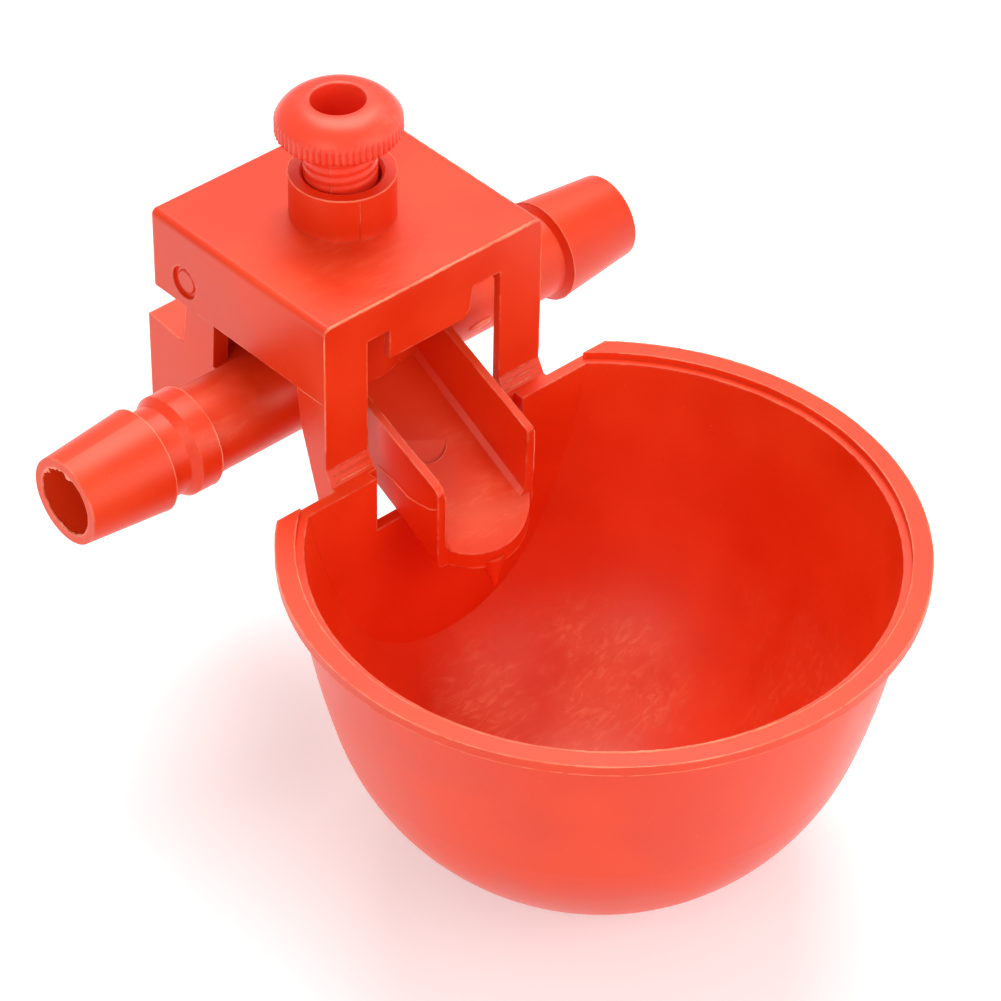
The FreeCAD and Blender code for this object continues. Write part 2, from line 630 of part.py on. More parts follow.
def check_and_write(parts):
    for item in doc.Objects:
        if any(word in item.State for word in ("Invalid", "Error")):
            raise RuntimeError("%s failed: %s" % (item.Name, item.State))
    for part in parts:
        shape = part.Shape
        if shape.isNull() or not shape.isValid() or shape.Volume <= 0 or len(shape.Solids) != 1:
            raise RuntimeError("bad shape: " + part.Label)
    os.makedirs("parts", exist_ok=True)
    for part in parts:
        part.Shape.exportStep("parts/%s.step" % part.Label)
        print("%-18s %9.1f mm3" % (part.Label, part.Shape.Volume))


sub_parts = [
    make_valve_body(), make_drinking_cup(), make_pivot_pin(), make_adjusting_screw(),
    make_valve_plug(), make_return_spring(),
]
doc.recompute()
check_and_write(sub_parts)
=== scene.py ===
import math
import random

import bpy
from mathutils import Matrix, Vector, noise


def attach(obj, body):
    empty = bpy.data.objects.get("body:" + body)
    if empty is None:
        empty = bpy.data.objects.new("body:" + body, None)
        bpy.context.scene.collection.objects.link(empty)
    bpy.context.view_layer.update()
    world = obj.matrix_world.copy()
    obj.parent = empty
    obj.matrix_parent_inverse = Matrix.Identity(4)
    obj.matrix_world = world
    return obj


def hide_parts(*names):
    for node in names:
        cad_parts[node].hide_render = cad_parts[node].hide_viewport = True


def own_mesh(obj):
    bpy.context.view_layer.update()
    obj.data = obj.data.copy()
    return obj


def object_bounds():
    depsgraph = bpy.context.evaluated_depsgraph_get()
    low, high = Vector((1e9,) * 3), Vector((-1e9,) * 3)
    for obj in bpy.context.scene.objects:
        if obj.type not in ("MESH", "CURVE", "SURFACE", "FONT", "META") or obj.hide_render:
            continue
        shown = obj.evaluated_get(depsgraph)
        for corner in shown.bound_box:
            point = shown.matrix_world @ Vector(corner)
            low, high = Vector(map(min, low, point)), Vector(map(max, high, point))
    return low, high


# Self-closing hanging-cup drinker for poultry.  The CAD nodes valve_body, drinking_cup,
# pivot_pin and valve_plug are shown as they are.  The screw and the spring are replaced by
# finer meshes, and flash, seams and the sprue's drip are added.  Lengths here are millimetres
# and are turned into metres where a mesh is made.

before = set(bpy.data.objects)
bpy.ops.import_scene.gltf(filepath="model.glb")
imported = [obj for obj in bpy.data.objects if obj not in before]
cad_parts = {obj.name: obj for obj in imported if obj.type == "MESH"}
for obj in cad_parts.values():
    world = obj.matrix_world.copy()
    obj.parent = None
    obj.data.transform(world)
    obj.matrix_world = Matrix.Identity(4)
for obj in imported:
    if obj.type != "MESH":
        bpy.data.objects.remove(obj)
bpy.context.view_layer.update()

MM = 0.001

# places and sizes of the CAD model that the added pieces touch
PIPE_END = 45.3
PIPE_RAD = 5.9
BORE_RAD = 4.6
BARB_RAD, BARB_AT = 6.95, 33.3
COLLAR_RAD, COLLAR_EDGE = 6.75, 25.9
VALVE_Y = 0.5
SPRING_LOW, SPRING_HIGH, SPRING_RAD, WIRE_RAD = 7.5, 20.0, 6.05, 0.4
SPRING_TURNS = 3.0
CAP_HALF, CAP_FRONT, CAP_BACK, CAP_TOP, CAP_LOW = 17.75, 16.8, 17.0, 22.0, 10.4
CAP_ROUND = 1.0
FLANGE_TOP = 11.4
POST_IN = 10.9
BOSS_RAD, BOSS_TOP = 6.8, 28.2
RAMP_TOP, RAMP_LOW, RAMP_OUT = 0.2, -1.9, 1.1
BOWL_Y, RIM_RAD, RIM_TOP, BAND_IN, BAND_LOW = -48.0, 40.0, -1.0, 37.5, -2.4
CHUTE_LEFT, CHUTE_RIGHT, CHUTE_WALL = -8.95, 8.35, 1.15
CHEEK_LEFT, CHEEK_RIGHT = 27.8, 26.4
NOSE_LOW = -15.3

# the screw that replaces the plain CAD one
HEAD_RAD, HEAD_LOW, HEAD_FOOT, HEAD_EDGE, HEAD_BAND, HEAD_TOP = 8.05, 33.3, 6.8, 34.5, 36.3, 38.8
HEAD_HOLE, HEAD_HOLE_LOW = 3.5, 24.5
KNURLS, KNURL_DEEP = 60, 0.26
THREAD_RAD, THREAD_DEEP, THREAD_PITCH = 4.68, 0.15, 1.25
SHANK_LOW, SHANK_NECK = 15.6, 32.4
SOCKET_RAD, SOCKET_TOP = 1.58, 19.2
SCREW_LEAN, LEAN_ABOUT = 1.2, 17.5
SCREW_SEAM = -145.0


# --------------------------------------------------------------------------- mesh helpers

def make_object(name, points, faces, body, material, sharp=35.0):
    """A mesh from points in millimetres that rides on a body."""
    mesh = bpy.data.meshes.new(name)
    mesh.from_pydata([tuple(c * MM for c in point) for point in points], [], faces)
    mesh.validate()
    mesh.shade_smooth()
    mesh.set_sharp_from_angle(angle=math.radians(sharp))
    mesh.materials.append(material)
    piece = bpy.data.objects.new(name, mesh)
    bpy.context.scene.collection.objects.link(piece)
    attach(piece, body)
    return piece


def lathe_faces(rings, around, first=0):
    """Quads between rings of points, each with the same count around."""
    faces = []
    for ring in range(rings - 1):
        for step in range(around):
            after = (step + 1) % around
            a = first + ring * around
            b = a + around
            faces.append((a + step, a + after, b + after, b + step))
    return faces


def lathe(profile, around, centre, radius_at):
    """Points of a turned shape about a vertical line.  radius_at(ring, angle) gives each radius."""
    points = []
    for ring, (_, height) in enumerate(profile):
        for step in range(around):
            angle = 2.0 * math.pi * step / around
            radius = radius_at(ring, angle)
            points.append(Vector((centre[0] + radius * math.cos(angle),
                                  centre[1] + radius * math.sin(angle), height)))
    return points


def tube(path, radii, sides, closed=False):
    """Points and faces of a tube round a path of points, with a radius at each point."""
    count = len(path)
    points, faces = [], []
    normal = None
    for i, place in enumerate(path):
        before = path[i - 1] if (i or closed) else path[0]
        after = path[(i + 1) % count] if (i < count - 1 or closed) else path[-1]
        along = (after - before).normalized()
        if normal is None:
            normal = along.orthogonal().normalized()
        normal = (normal - along * normal.dot(along)).normalized()
        across = along.cross(normal)
        for side in range(sides):
            angle = 2.0 * math.pi * side / sides
            points.append(place + (normal * math.cos(angle) + across * math.sin(angle)) * radii[i])
    faces = lathe_faces(count, sides)
    if closed:
        last = (count - 1) * sides
        for side in range(sides):
            after = (side + 1) % sides
            faces.append((last + side, last + after, after, side))
    else:
        faces.append(tuple(range(sides - 1, -1, -1)))
        faces.append(tuple(range((count - 1) * sides, count * sides)))
    return points, faces


def resample(path, step, closed=False):
    """Points along the path's straight runs, about that far apart."""
    corners = [Vector(point) for point in path]
    if closed:
        corners.append(corners[0])
    places = []
    for start, end in zip(corners, corners[1:]):
        count = max(1, round((end - start).length / step))
        places += [start.lerp(end, i / count) for i in range(count)]
    if not closed:
        places.append(corners[-1])
    return places


def wander(place):
    """A smooth random offset, up to 1 each way, that is the same in every run."""
    return Vector([noise.noise(place + Vector((apart, 0.0, 0.0))) for apart in (0.0, 31.7, 74.3)])


def flash_line(name, path, thick, body, seed, patchy=0.6, closed=False, material=None):
    """A line of moulding flash: a thin ragged bead that swells and fades along the path."""
    places = resample(path, 0.3, closed)
    rnd = random.Random(seed)
    shift = Vector((rnd.uniform(0, 50), rnd.uniform(0, 50), rnd.uniform(0, 50)))
    radii, moved = [], []
    for i, place in enumerate(places):
        swell = 0.5 + 0.5 * noise.noise(place * 0.45 + shift)
        grain = 0.5 + 0.5 * noise.noise(place * 2.3 + shift)
        radius = thick * (1.0 - patchy + patchy * (0.65 * swell + 0.35 * grain) * 1.6)
        if not closed:
            radius *= min(1.0, 0.15 + 0.25 * min(i, len(places) - 1 - i))
        radii.append(max(radius, 0.02))
        moved.append(place + wander(place * 1.7 + shift) * thick * 0.35)
    points, faces = tube(moved, radii, 6, closed)
    return make_object(name, points, faces, body, material or flash_plastic, 80.0)


def arc(centre, radius, start, end, axis="Z", step=2.0):
    """Points of an arc in degrees about a point, round the Z axis or the X axis."""
    count = max(2, round(abs(end - start) / step))
    places = []
    for i in range(count + 1):
        angle = math.radians(start + (end - start) * i / count)
        first, second = radius * math.cos(angle), radius * math.sin(angle)
        offset = (first, second, 0.0) if axis == "Z" else (0.0, first, second)
        places.append(tuple(c + o for c, o in zip(centre, offset)))
    return places


# --------------------------------------------------------------------------- materials

class Nodes:
    """Short ways to add the nodes of one material."""

    def __init__(self, name):
        self.material = bpy.data.materials.new(name)
        self.material.use_nodes = True
        self.tree = self.material.node_tree
        self.tree.nodes.clear()
        self.coords = self.add("TexCoord").outputs["Object"]

    def add(self, kind, **values):
        node = self.tree.nodes.new("ShaderNode" + kind)
        for key, value in values.items():
            setattr(node, key, value)
        return node

    def put(self, socket, value):
        if isinstance(value, bpy.types.NodeSocket):
            self.tree.links.new(value, socket)
        else:
            socket.default_value = value

    def noise(self, scale, detail=3.0, rough=0.55, stretch=None, distortion=0.0):
        place = self.coords
        if stretch:
            mapping = self.add("Mapping")
            self.put(mapping.inputs["Vector"], place)
            mapping.inputs["Rotation"].default_value = stretch[1]
            mapping.inputs["Scale"].default_value = stretch[0]
            place = mapping.outputs["Vector"]
        node = self.add("TexNoise")
        self.put(node.inputs["Vector"], place)
        node.inputs["Scale"].default_value = scale
        node.inputs["Detail"].default_value = detail
        node.inputs["Roughness"].default_value = rough
        node.inputs["Distortion"].default_value = distortion
        return node.outputs["Fac"]

    def span(self, value, low, high, to_low=0.0, to_high=1.0):
        node = self.add("MapRange")
        node.interpolation_type = "SMOOTHSTEP"
        for name, number in (("Value", value), ("From Min", low), ("From Max", high),
                             ("To Min", to_low), ("To Max", to_high)):
            self.put(node.inputs[name], number)
        return node.outputs["Result"]

    def math(self, operation, first, second=0.0):
        node = self.add("Math", operation=operation)
        self.put(node.inputs[0], first)
        self.put(node.inputs[1], second)
        return node.outputs[0]

    def mix(self, factor, first, second):
        node = self.add("Mix", data_type="RGBA")
        self.put(node.inputs[0], factor)
        self.put(node.inputs[6], first)
        self.put(node.inputs[7], second)
        return node.outputs[2]

    def near(self, centre, reach, core=0.3):
        """1 within core of the reach of a point in millimetres, falling to 0 at the reach.
        reach may differ along each axis."""
        shifted = self.add("VectorMath", operation="SUBTRACT")
        self.put(shifted.inputs[0], self.coords)
        shifted.inputs[1].default_value = [c * MM for c in centre]
        scaled = self.add("VectorMath", operation="DIVIDE")
        self.put(scaled.inputs[0], shifted.outputs[0])
        scaled.inputs[1].default_value = [c * MM for c in reach]
        length = self.add("VectorMath", operation="LENGTH")
        self.put(length.inputs[0], scaled.outputs[0])
        return self.span(length.outputs["Value"], 1.0, core)

    def soft_edges(self, radius):
        """The normal of corners rounded by that many millimetres."""
        bevel = self.add("Bevel", samples=2)
        bevel.inputs["Radius"].default_value = radius * MM
        return bevel.outputs["Normal"]

    def corners(self, reach):
        """1 on outward corners and thin lips, 0 on flats and inward corners."""
        inside = self.add("AmbientOcclusion", samples=2, inside=True, only_local=True)
        inside.inputs["Distance"].default_value = reach * MM
        return self.span(inside.outputs["AO"], 0.86, 0.45)

    def bump(self, height, strength, distance, normal=None):
        node = self.add("Bump")
        node.inputs["Strength"].default_value = strength
        node.inputs["Distance"].default_value = distance * MM
        self.put(node.inputs["Height"], height)
        if normal:
            self.put(node.inputs["Normal"], normal)
        return node.outputs["Normal"]

    def finish(self, **inputs):
        shader = self.add("BsdfPrincipled")
        for name, value in inputs.items():
            self.put(shader.inputs[name.replace("_", " ")], value)
        out = self.add("OutputMaterial")
        self.put(out.inputs["Surface"], shader.outputs[0])
        return self.material


def rgb(red, green, blue):
    """A linear colour from the 0-255 values that a screen shows."""
    def linear(value):
        value /= 255.0
        return value / 12.92 if value <= 0.04045 else ((value + 0.055) / 1.055) ** 2.4
    return (linear(red), linear(green), linear(blue), 1.0)


WARM_SHINE = (1.0, 0.97, 0.80, 1.0)


def moulded_plastic(name, colour, deep, pale, rough, scuffs_and_sheen=(), glow=0.0):
    """Semi-gloss moulded polypropylene: cloudy colour, fine grit, pale outward edges that are partly edge wear and
    partly painted edge highlight, and pale scuffed places that are partly rubbed plastic and partly painted sheen.  A
    scuff is (centre, reach, strength) in millimetres."""
    n = Nodes(name)
    cloud = n.noise(55.0, 2.0)
    body_colour = n.mix(n.span(cloud, 0.32, 0.68), deep, colour)
    fine = n.noise(1700.0, 2.0, 0.7)
    grit = n.span(fine, 0.66, 0.80)
    # painted edge highlight: outward edges and thin lips turn pale, partly as edge wear, partly as painted light that
    # the edges catch
    corner = n.math("MULTIPLY", n.corners(0.30), n.span(n.noise(420.0, 2.0), 0.40, 0.62, 0.1, 0.85))
    pale_marks_and_highlights = n.math("MAXIMUM", n.math("MULTIPLY", grit, 0.22), corner)
    shine = n.span(cloud, 0.3, 0.7, rough - 0.04, rough + 0.06)
    if scuffs_and_sheen:
        # painted sheen: each pale scuff patch is partly rubbed plastic and partly painted sheen where light falls on
        # it
        scratch = n.span(n.noise(520.0, 4.0, 0.7, ((0.35, 1.5, 1.0), (0.5, 0.2, 0.7)), 1.2), 0.47, 0.66)
        patches = n.span(n.noise(95.0, 3.0, 0.62), 0.34, 0.62, 0.15, 1.0)
        rubbed_and_sheen = 0.0
        for centre, reach, strength in scuffs_and_sheen:
            rubbed_and_sheen = n.math("MAXIMUM", rubbed_and_sheen, n.math("MULTIPLY", n.near(centre, reach), strength))
        rubbed_and_sheen = n.math("MULTIPLY", rubbed_and_sheen, patches)
        scuff_and_sheen_streaks = n.math("MULTIPLY", rubbed_and_sheen, n.math("ADD", n.math("MULTIPLY", scratch, 0.6), 0.4))
        pale_marks_and_highlights = n.math("MAXIMUM", pale_marks_and_highlights, scuff_and_sheen_streaks)
        shine = n.math("ADD", shine, n.math("MULTIPLY", rubbed_and_sheen, 0.12))
    body_colour = n.mix(pale_marks_and_highlights, body_colour, pale)
    soft = n.bump(fine, 0.30, 0.025, n.soft_edges(0.22))
    return n.finish(Base_Color=body_colour, Roughness=shine, Normal=soft, IOR=1.49,
                    Specular_Tint=WARM_SHINE, Subsurface_Weight=glow, Subsurface_Scale=1.2 * MM,
                    Subsurface_Radius=(1.0, 0.28, 0.12))


def thin_plastic():
    """The paler, half clear plastic of the mould's flash."""
    n = Nodes("flash_plastic")
    cloud = n.noise(160.0)
    colour = n.mix(n.span(cloud, 0.32, 0.68), rgb(246, 98, 58), rgb(255, 142, 106))
    grain = n.bump(n.noise(1700.0, 2.0, 0.7), 0.3, 0.03)
    shine = n.span(cloud, 0.3, 0.7, 0.42, 0.52)
    return n.finish(Base_Color=colour, Roughness=shine, Normal=grain, IOR=1.49)


def rubber():
    """Dull dark rubber with a fine dusty bloom."""
    n = Nodes("seal_rubber")
    bloom = n.span(n.noise(700.0, 4.0, 0.65), 0.42, 0.72)
    colour = n.mix(n.math("MULTIPLY", bloom, 0.5), rgb(46, 44, 43), rgb(88, 84, 80))
    grain = n.bump(n.noise(2600.0, 3.0), 0.3, 0.03, n.soft_edges(0.15))
    shine = n.span(n.noise(300.0, 3.0), 0.3, 0.7, 0.55, 0.75)
    return n.finish(Base_Color=colour, Roughness=shine, Normal=grain)


def spring_wire():
    """Drawn stainless wire: fine lines along it and a few dull spots."""
    n = Nodes("spring_steel")
    dull = n.span(n.noise(380.0, 4.0, 0.6), 0.40, 0.72)
    colour = n.mix(dull, rgb(198, 198, 196), rgb(140, 138, 134))
    lines = n.noise(1800.0, 3.0, 0.6, ((1.0, 1.0, 6.0), (0.0, 0.0, 0.0)))
    shine = n.span(lines, 0.3, 0.7, 0.22, 0.40)
    return n.finish(Base_Color=colour, Metallic=1.0, Roughness=shine, Normal=n.bump(lines, 0.2, 0.02))


RED, RED_DEEP, RED_PALE = rgb(238, 60, 14), rgb(228, 48, 6), rgb(255, 136, 96)
# The scuffs listed for these materials are pale patches, partly rubbed plastic and partly painted sheen.
body_plastic = moulded_plastic("valve_plastic", RED, RED_DEEP, RED_PALE, 0.40, [
    ((1.0, -25.0, -9.5), (9.0, 7.5, 6.0), 0.55),
    ((3.5, -17.0, -4.5), (5.0, 9.0, 5.0), 0.35),
    ((-22.0, -4.0, 4.0), (14.0, 9.0, 4.0), 0.25),
])
cup_plastic = moulded_plastic("cup_plastic", RED, RED_DEEP, RED_PALE, 0.40, [
    ((6.0, -31.0, -41.0), (23.0, 16.0, 13.0), 0.78),
    ((18.0, -36.0, -42.0), (13.0, 13.0, 10.0), 0.70),
    ((24.0, -62.0, -34.0), (34.0, 30.0, 16.0), 0.22),
    ((-6.0, -10.0, 22.0), (15.0, 15.0, 1.5), 0.18),
])
pin_plastic = moulded_plastic("pin_plastic", RED, RED_DEEP, RED_PALE, 0.38)
screw_plastic = moulded_plastic("screw_plastic", rgb(248, 68, 42), rgb(240, 56, 30), rgb(255, 140, 120), 0.34, [
    ((3.0, -5.5, 37.0), (6.0, 5.0, 3.0), 0.35),
], 0.15)
flash_plastic = thin_plastic()
seal_rubber = rubber()
spring_steel = spring_wire()

for node, material in (("valve_body", body_plastic), ("drinking_cup", cup_plastic),
                       ("pivot_pin", pin_plastic), ("valve_plug", seal_rubber)):
    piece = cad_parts[node]
    piece.data.materials.clear()
    piece.data.materials.append(material)
    for face_slot in piece.material_slots:
        face_slot.material = material


# --------------------------------------------------------------------------- screw

def crown_profile(outer, inner):
    """(radius, height) over the head's crown, an arc from its band to the hole's lip."""
    start, end = Vector((outer, HEAD_BAND)), Vector((inner, HEAD_TOP))
    chord = end - start
    across = Vector((chord.y, -chord.x)).normalized()
    steps, rise = 14, 0.78
    spots = []
    for i in range(1, steps + 1):
        share = i / steps
        spot = start + chord * share + across * rise * 4.0 * share * (1.0 - share)
        spots.append((spot.x, spot.y))
    return spots


def screw_profile():
    """(radius, height) from the tip's socket up the threaded shank and over the head to the
    bottom of the head's hole."""
    profile = [(0.02, SOCKET_TOP), (SOCKET_RAD - 0.15, SOCKET_TOP), (SOCKET_RAD, SOCKET_TOP - 0.15),
               (SOCKET_RAD, SHANK_LOW + 0.2), (SOCKET_RAD + 0.2, SHANK_LOW), (4.0, SHANK_LOW)]
    steps = 96
    for i in range(steps + 1):
        height = SHANK_LOW + 0.35 + (SHANK_NECK - SHANK_LOW - 0.35) * i / steps
        profile.append((THREAD_RAD, height))
    profile += [(THREAD_RAD, HEAD_LOW - 0.25), (THREAD_RAD + 0.08, HEAD_LOW - 0.08),
                (THREAD_RAD + 0.3, HEAD_LOW), (HEAD_FOOT - 0.35, HEAD_LOW),
                (HEAD_FOOT - 0.1, HEAD_LOW + 0.05)]
    for share in (0.0, 0.2, 0.45, 0.7, 0.9, 1.0):
        profile.append((HEAD_FOOT + (HEAD_RAD - HEAD_FOOT) * share ** 0.75,
                        HEAD_LOW + 0.12 + (HEAD_EDGE - HEAD_LOW - 0.12) * share))
    for share in (0.25, 0.5, 0.75, 1.0):
        profile.append((HEAD_RAD - 0.05 * share, HEAD_EDGE + (HEAD_BAND - HEAD_EDGE) * share))
    profile += crown_profile(HEAD_RAD - 0.05, HEAD_HOLE + 0.12)
    profile += [(HEAD_HOLE + 0.04, HEAD_TOP - 0.04), (HEAD_HOLE, HEAD_TOP - 0.12),
                (HEAD_HOLE - 0.02, HEAD_TOP - 2.0),
                (HEAD_HOLE - 0.1, HEAD_HOLE_LOW + 0.6), (HEAD_HOLE - 0.6, HEAD_HOLE_LOW),
                (0.02, HEAD_HOLE_LOW)]
    return profile


def make_screw():
    profile = screw_profile()
    around = KNURLS * 8
    knurl_low, knurl_high = HEAD_LOW + 0.1, HEAD_BAND + 0.35

    def radius_at(ring, angle):
        radius, height = profile[ring]
        if radius > HEAD_FOOT - 0.2 and knurl_low < height < knurl_high and ring > 100:
            fade = min(1.0, (knurl_high - height) / 0.5)
            groove = 0.5 + 0.5 * math.cos(angle * KNURLS)
            radius -= KNURL_DEEP * fade * (1.0 - groove ** 0.6)
        if abs(radius - THREAD_RAD) < 0.01 and SHANK_LOW + 0.3 < height < SHANK_NECK:
            turns = height / THREAD_PITCH - angle / (2.0 * math.pi)
            fade = min(1.0, (SHANK_NECK - height) / 0.8, (height - SHANK_LOW) / 0.9)
            crest = 0.5 + 0.5 * math.cos(2.0 * math.pi * turns)
            radius -= THREAD_DEEP * fade * (1.0 - crest ** 0.7)
        if 4.0 < radius < HEAD_RAD + 0.1 and SHANK_LOW < height < HEAD_BAND:
            for seam in (SCREW_SEAM, SCREW_SEAM + 180.0):
                off = (math.degrees(angle) - seam + 180.0) % 360.0 - 180.0
                radius += 0.09 * math.exp(-(off / 1.1) ** 2)
        return radius

    points = lathe(profile, around, (0.0, VALVE_Y), radius_at)
    direction = Vector((-math.cos(math.radians(42.8)), math.sin(math.radians(42.8)), 0.0))
    axis = Vector((0.0, 0.0, 1.0)).cross(direction)
    turn = Matrix.Rotation(math.radians(SCREW_LEAN), 3, axis)
    pivot = Vector((0.0, VALVE_Y, LEAN_ABOUT))
    points = [pivot + turn @ (point - pivot) for point in points]
    faces = lathe_faces(len(profile), around)
    faces.append(tuple(range(around - 1, -1, -1)))
    faces.append(tuple(range((len(profile) - 1) * around, len(profile) * around)))
    piece = make_object("knurled_screw", points, faces, "screw", screw_plastic, 40.0)
    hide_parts("adjusting_screw")


make_screw()


# --------------------------------------------------------------------------- spring

def make_spring():
    """The return spring: three working turns between a closed turn at each end."""
    closed = WIRE_RAD * 2.05
    low, high = SPRING_LOW + WIRE_RAD, SPRING_HIGH - WIRE_RAD
    turns = SPRING_TURNS + 2.0
    steps = int(turns * 48)
    path = []
    for i in range(steps + 1):
        done = turns * i / steps
        if done < 1.0:
            height = low + closed * done
        elif done > turns - 1.0:
            height = high - closed * (turns - done)
        else:
            height = low + closed + (high - low - closed * 2.0) * (done - 1.0) / SPRING_TURNS
        angle = 2.0 * math.pi * done
        path.append(Vector((SPRING_RAD * math.sin(angle), VALVE_Y - SPRING_RAD * math.cos(angle), height)))
    points, faces = tube(path, [WIRE_RAD] * len(path), 14)
    piece = make_object("coil_spring", points, faces, "valve", spring_steel, 60.0)
    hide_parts("return_spring")
    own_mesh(piece)


make_spring()


# --------------------------------------------------------------------------- flash and seams

def make_cap_flash():
    """Flash where the mould's halves met: along the cap's front and right top edges, down the
    front corners, and the seam on each side of the posts."""
    side, front, top = CAP_HALF - 0.02, -CAP_FRONT + 0.02, CAP_TOP - 0.02
    corner = CAP_ROUND * 0.29
    across = [(-side + corner, front, top - corner), (-side + CAP_ROUND, front, top), (side - CAP_ROUND, front, top),
              (side - corner, front, top - corner)]
    flash_line("cap_front_flash", across, 0.24, "cup", 11, 0.7)
    flash_line("cap_left_corner_flash", [(-side, front, top - CAP_ROUND), (-side, front, 3.0)], 0.12, "cup", 12, 0.8)
    flash_line("cap_right_corner_flash", [(side, front, top - CAP_ROUND), (side, front, 1.0)], 0.12, "cup", 13, 0.8)
    for sign, name in ((-1.0, "left"), (1.0, "right")):
        seam = [(sign * CAP_HALF, -FLANGE_TOP, CAP_LOW), (sign * CAP_HALF, -CAP_FRONT + 0.1, CAP_LOW)]
        flash_line("post_seam_" + name, seam, 0.09, "cup", 20 + int(sign), 0.35)
    edge = [(side - 0.3, front + 1.0, top - 0.28), (side - 0.3, CAP_BACK - CAP_ROUND, top - 0.28)]
    flash_line("cap_right_flash", edge, 0.12, "cup", 14, 0.9)


def make_boss_flash():
    """The nibbled rim of the screw's collar and the seam down its side."""
    flash_line("boss_rim_flash", arc((0.0, VALVE_Y, BOSS_TOP - 0.03), BOSS_RAD - 0.04, 0.0, 357.0),
               0.12, "cup", 31, 0.7, closed=True)
    angle = math.radians(-112.0)
    x, y = (BOSS_RAD + 0.0) * math.cos(angle), VALVE_Y + BOSS_RAD * math.sin(angle)
    flash_line("boss_seam", [(x, y, CAP_TOP), (x, y, BOSS_TOP)], 0.06, "cup", 33, 0.3, material=cup_plastic)


def make_post_ridges():
    """Fine steps across the foot of each post, where the ramp meets the bowl's ledge."""
    for sign, name in ((-1.0, "left"), (1.0, "right")):
        for step, share in enumerate((0.0, 0.42, 0.8)):
            y = -CAP_FRONT - RAMP_OUT * share - 0.03
            z = RAMP_TOP + (RAMP_LOW - RAMP_TOP) * share
            ends = [(sign * (CAP_HALF - 0.7), y, z), (sign * (POST_IN + 0.2), y, z)]
            flash_line("post_step_%s_%d" % (name, step), ends, 0.15, "cup", 40 + step, 0.25,
                       material=cup_plastic)


def make_rim_flash():
    """Thin flash round both edges of the bowl's rim, heavier at the front."""
    centre = (0.0, BOWL_Y, RIM_TOP - 0.03)
    reach = math.degrees(math.asin((-BOWL_Y - 18.9) / RIM_RAD))
    flash_line("rim_outer_flash", arc(centre, RIM_RAD - 0.03, reach - 1.0, -181.0 - reach), 0.07, "cup", 51, 0.9)
    flash_line("rim_inner_flash", arc(centre, BAND_IN + 0.03, reach - 2.0, -182.0 - reach), 0.08, "cup", 52, 0.9)
    flash_line("rim_front_flash", arc(centre, BAND_IN + 0.05, -100.0, -140.0), 0.2, "cup", 53, 0.9)
    under = (0.0, BOWL_Y, BAND_LOW + 0.03)
    flash_line("rim_under_flash", arc(under, RIM_RAD - 0.03, reach - 1.0, -181.0 - reach), 0.05, "cup", 54, 0.9)


def make_chute_flash():
    """The witness line on the chute's left side, flash on the cheeks' ends, and the drip of the
    sprue under the nose."""
    line = [(CHUTE_LEFT, -16.3, -3.66), (CHUTE_LEFT, -20.1, -4.54), (CHUTE_LEFT, -22.1, -5.25),
            (CHUTE_LEFT, -24.3, -5.12), (CHUTE_LEFT, -26.4, -4.64), (CHUTE_LEFT, -27.6, -3.9)]
    flash_line("chute_witness", line, 0.11, "valve", 61, 0.4)
    left_top = lambda y: -1.5 + 0.44 * (28.0 - y)
    inner = CHUTE_LEFT + CHUTE_WALL
    tip = [(inner, -CHEEK_LEFT + 5.0, left_top(CHEEK_LEFT - 5.0)), (inner, -CHEEK_LEFT + 1.4, left_top(CHEEK_LEFT - 1.4)),
           (inner, -CHEEK_LEFT, left_top(CHEEK_LEFT) - 1.2), (inner, -CHEEK_LEFT, -10.0)]
    flash_line("chute_left_flash", tip, 0.12, "valve", 62, 0.8)
    blob = [(inner - 0.5, -CHEEK_LEFT + 1.4, left_top(CHEEK_LEFT - 1.4)), (inner - 0.4, -CHEEK_LEFT + 0.5, left_top(CHEEK_LEFT) - 0.1)]
    flash_line("chute_left_blob", blob, 0.32, "valve", 63, 0.5)
    inner = CHUTE_RIGHT - CHUTE_WALL
    tip = [(CHUTE_RIGHT, -CHEEK_RIGHT + 0.5, left_top(CHEEK_RIGHT - 0.5)), (CHUTE_RIGHT, -CHEEK_RIGHT, left_top(CHEEK_RIGHT) - 0.6),
           (CHUTE_RIGHT, -CHEEK_RIGHT, -8.0)]
    flash_line("chute_right_flash", tip, 0.10, "valve", 64, 0.7)
    drip = [Vector(p) for p in ((-1.5, -29.6, NOSE_LOW + 1.0), (-1.6, -29.9, NOSE_LOW), (-1.7, -30.1, NOSE_LOW - 0.9),
                                (-1.75, -30.3, NOSE_LOW - 1.8), (-1.75, -30.45, NOSE_LOW - 2.5), (-1.7, -30.5, NOSE_LOW - 2.9))]
    points, faces = tube(drip, [1.6, 1.35, 0.95, 0.62, 0.42, 0.16], 14)
    make_object("sprue_drip", points, faces, "valve", body_plastic, 50.0)


def ragged_ring(name, x, inward, body, seed):
    """Torn flash in the mouth of the water way: a thin ring with a nibbled inner edge."""
    rnd = random.Random(seed)
    shift = rnd.uniform(0.0, 90.0)
    around = 160
    points = []
    for step in range(around):
        angle = 2.0 * math.pi * step / around
        spot = Vector((math.cos(angle) * 2.2, math.sin(angle) * 2.2, shift))
        torn = max(0.0, noise.noise(spot * 1.3)) * 0.8 + max(0.0, noise.noise(spot * 4.5)) * 0.6
        heavy = 0.25 + 0.75 * max(0.0, math.sin(angle + 0.5))
        inner = BORE_RAD - 0.03 - torn * heavy * 1.6
        for radius, depth in ((BORE_RAD + 0.12, 0.02), (inner, 0.10), (inner, 0.22), (BORE_RAD + 0.12, 0.34)):
            points.append((x + inward * depth, radius * math.cos(angle), radius * math.sin(angle)))
    faces = []
    for step in range(around):
        after = (step + 1) % around
        for corner in range(4):
            following = (corner + 1) % 4
            faces.append((step * 4 + corner, step * 4 + following, after * 4 + following, after * 4 + corner))
    return make_object(name, points, faces, body, flash_plastic, 50.0)


